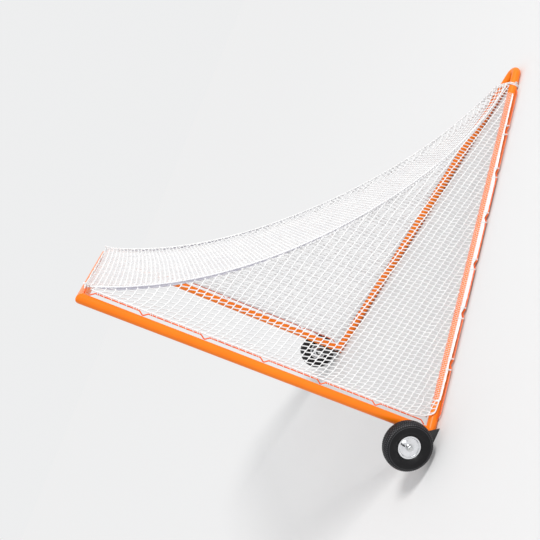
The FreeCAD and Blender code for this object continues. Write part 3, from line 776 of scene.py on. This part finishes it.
# --------------------------------------------------------------------------
# Tyres with a fine tread
# --------------------------------------------------------------------------
def tyre_mesh(sx, side):
    lo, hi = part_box("%s_tyre" % side)
    xc = 0.5 * (lo.x + hi.x)
    yc, zc = Y0 + AXLE_Y, AXLE_Z
    half = 0.5 * (hi.x - lo.x) - 0.0004
    ry = TYRE_R - TYRE_C - 0.0002
    # outer profile as (across, radius), from bead to bead
    prof = []
    n = 96
    for k in range(n + 1):
        a = math.radians(-118 + 236 * k / n)
        ca = math.cos(a)
        rr = TYRE_C + ry * (abs(ca) ** 0.66 if ca > 0 else -0.86 * abs(ca) ** 0.9)
        prof.append((half * math.copysign(abs(math.sin(a)) ** 0.78, a), rr))
    bead = [(0.0292, 0.0640), (0.0256, 0.0594), (0.0205, 0.0572)]
    prof = [(-x, r) for x, r in bead[::-1]] + prof + bead
    segs = 360
    V, F, W = [], [], []
    nb = 72
    for i in range(segs):
        th = 2 * math.pi * i / segs
        for k, (x, rr) in enumerate(prof):
            h, highlighted = 0.0, 0
            ax = abs(x) / half
            if rr > 0.1140:
                # rows of small blocks, staggered, with round grooves between
                row = math.floor((x / half + 1) * 4.5)
                ph = (th * nb / (2 * math.pi) + 0.5 * (row % 2) + 0.25 * ax) % 1.0
                fx = ((x / half + 1) * 4.5) % 1.0
                h = -0.0026 if (ph < 0.36 or (fx < 0.24 and ax < 0.85)) else 0.0
                # raised block tops are marked for the painted highlight
                highlighted = 1 if h == 0.0 else 0
            elif 0.1045 < rr < 0.1085:
                # the shoulder rib is marked for the painted highlight
                h, highlighted = 0.0012, 1
            elif 0.0700 < rr < 0.0735:
                h = 0.0009
            x2 = x * (1 - 0.004) if h < 0 else x
            W.append(highlighted)
            V.append((xc + x2, yc + (rr + h) * math.sin(th), zc + (rr + h) * math.cos(th)))
    m = len(prof)
    for i in range(segs):
        j = (i + 1) % segs
        for k in range(m - 1):
            F.append((i * m + k, i * m + k + 1, j * m + k + 1, j * m + k))
    ob = add_mesh("%s_tyre_tread" % side, V, F, M_TYRE, "%s_wheel" % side)
    # the tops of the blocks and the rib on the shoulder take a lighter rubber: a painted highlight
    ob.data.materials.append(M_TYRE_PAINTED_HIGHLIGHT)
    W = np.array(W)
    ob.data.polygons.foreach_set("material_index", [int(W[list(f)].min()) for f in F])
    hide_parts("%s_tyre" % side)
    return ob


for sx, side in ((-1.0, "left"), (1.0, "right")):
    tyre_mesh(sx, side)


# --------------------------------------------------------------------------
# Knots at the top corners and lashing at the nose
# --------------------------------------------------------------------------
def loop_path(c, n1, n2, r, turns, pitch_dir, pitch, a0=0.0, step=0.15):
    n1, n2, c, pitch_dir = map(lambda q: np.asarray(q, float), (n1, n2, c, pitch_dir))
    a = np.arange(a0, a0 + turns * 2 * math.pi, step)
    return c + r * (np.cos(a)[:, None] * n1 + np.sin(a)[:, None] * n2) + pitch_dir * pitch * ((a - a0) / (2 * math.pi))[:, None]


parts = []
for s in (-1, 1):
    c = np.array([s * (MOUTH / 2 - 0.026), EDGE_Y - 0.0097 + Y0, ZC + 0.0146])
    # an overhand knot: a short trefoil of cord with two tails
    a = np.linspace(0, 2 * math.pi, 90)
    k = np.stack([np.sin(a) + 2 * np.sin(2 * a), np.cos(a) - 2 * np.cos(2 * a), -np.sin(3 * a)], 1) * 0.0021
    parts.append(pipe(c + k[:, [0, 2, 1]], 0.0026, 7, caps=False))
    t1 = smooth_path([c + [0, 0, -0.004], c + [s * 0.008, 0.010, -0.006], c + [s * 0.014, 0.020, -0.010]], 0.002, 6)
    t2 = smooth_path([c + [0, 0, 0], c + [-s * 0.012, -0.004, -0.016], c + [-s * 0.014, -0.010, -0.040]], 0.002, 6)
    parts += [pipe(t1, 0.0026, 7), pipe(t2, 0.0026, 7)]
V, F = gather(parts)
ob = add_mesh("corner_knot_cord", V, F, M_ROPE, "frame")
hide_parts("corner_knots")

parts = []
for k, q in enumerate((0.150, 0.1585)):
    hw = q * math.tan(HALF) + 0.004
    y = -DEPTH + q + Y0
    pts = []
    for s in (-1, 1):
        arc = []
        c0 = np.array([s * q * math.tan(HALF), y, R])
        for a in np.radians(np.arange(0, 141, 10)):
            arc.append(c0 + (R + 0.0040) * np.array([s * math.sin(a), 0, math.cos(a)]))
        pts.append(arc)
    path = pts[0][::-1] + pts[1]
    parts += twisted(smooth_path(path, 0.003, 4), ROPE_R, 0.022)
V, F = gather(parts)
ob = add_mesh("nose_lashing_cord", V, F, M_ROPE, "frame")
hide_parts("nose_lashing")

# --------------------------------------------------------------------------
# Floor, lights, camera
# --------------------------------------------------------------------------
scene = bpy.context.scene
floor_me = bpy.data.meshes.new("floor")
S = 60.0
floor_me.from_pydata([(-S, -S, 0), (S, -S, 0), (S, S, 0), (-S, S, 0)], [], [(0, 1, 2, 3)])
floor = bpy.data.objects.new("floor", floor_me)
scene.collection.objects.link(floor)
mf, ntf, bf = new_mat("floor_pale")
bf.inputs["Base Color"].default_value = (0.680, 0.682, 0.688, 1)
bf.inputs["Roughness"].default_value = 0.9
bf.inputs["Specular IOR Level"].default_value = 0.0
floor_me.materials.append(mf)

world = bpy.data.worlds.new("studio")
world.use_nodes = True
bg = world.node_tree.nodes["Background"]
bg.inputs["Color"].default_value = (0.97, 0.975, 0.98, 1)
bg.inputs["Strength"].default_value = 0.88
scene.world = world


def area(name, loc, target, size, power, color=(1, 1, 1)):
    ld = bpy.data.lights.new(name, "AREA")
    ld.shape = "SQUARE"
    ld.size = size
    ld.energy = power
    ld.color = color
    ob = bpy.data.objects.new(name, ld)
    scene.collection.objects.link(ob)
    ob.location = loc
    d = Vector(target) - Vector(loc)
    ob.rotation_euler = d.to_track_quat("-Z", "Y").to_euler()
    return ob


sun_data = bpy.data.lights.new("sun", "SUN")
sun_data.energy = 1.9
sun_data.angle = math.radians(14)
sun_data.color = (1.0, 0.985, 0.96)
sun = bpy.data.objects.new("sun", sun_data)
scene.collection.objects.link(sun)
sun.rotation_euler = Vector((0.50, 0.62, -0.75)).to_track_quat("-Z", "Y").to_euler()
area("soft", (-3.8, -3.0, 3.4), (0, 0.1, 0.7), 2.6, 40)

C = np.array([-4.420157, -0.640235 + Y0, 1.790672])
Rm = np.array([[-0.18219332661182963, -0.3961478091853222, -0.8999291666657908],
               [-0.16244164529156468, 0.9147983066061685, -0.36980639543611993],
               [0.9697516711061057, 0.07880971709222137, -0.23102104856215888]])
F_PX, PPX, PPY = 757.491, 291.348, 299.478
cam = bpy.data.cameras.new("camera")
cam_ob = bpy.data.objects.new("camera", cam)
scene.collection.objects.link(cam_ob)
cam.sensor_width = 36.0
cam.lens = F_PX * 36.0 / 540.0
cam.shift_x = (270.0 - PPX) / 540.0
cam.shift_y = (PPY - 270.0) / 540.0
cam.clip_end = 200.0
Mx = Matrix((
    (Rm[0, 0], -Rm[1, 0], -Rm[2, 0], C[0]),
    (Rm[0, 1], -Rm[1, 1], -Rm[2, 1], C[1]),
    (Rm[0, 2], -Rm[1, 2], -Rm[2, 2], C[2]),
    (0, 0, 0, 1)))
cam_ob.matrix_world = Mx
scene.camera = cam_ob
scene.view_settings.view_transform = "Standard"
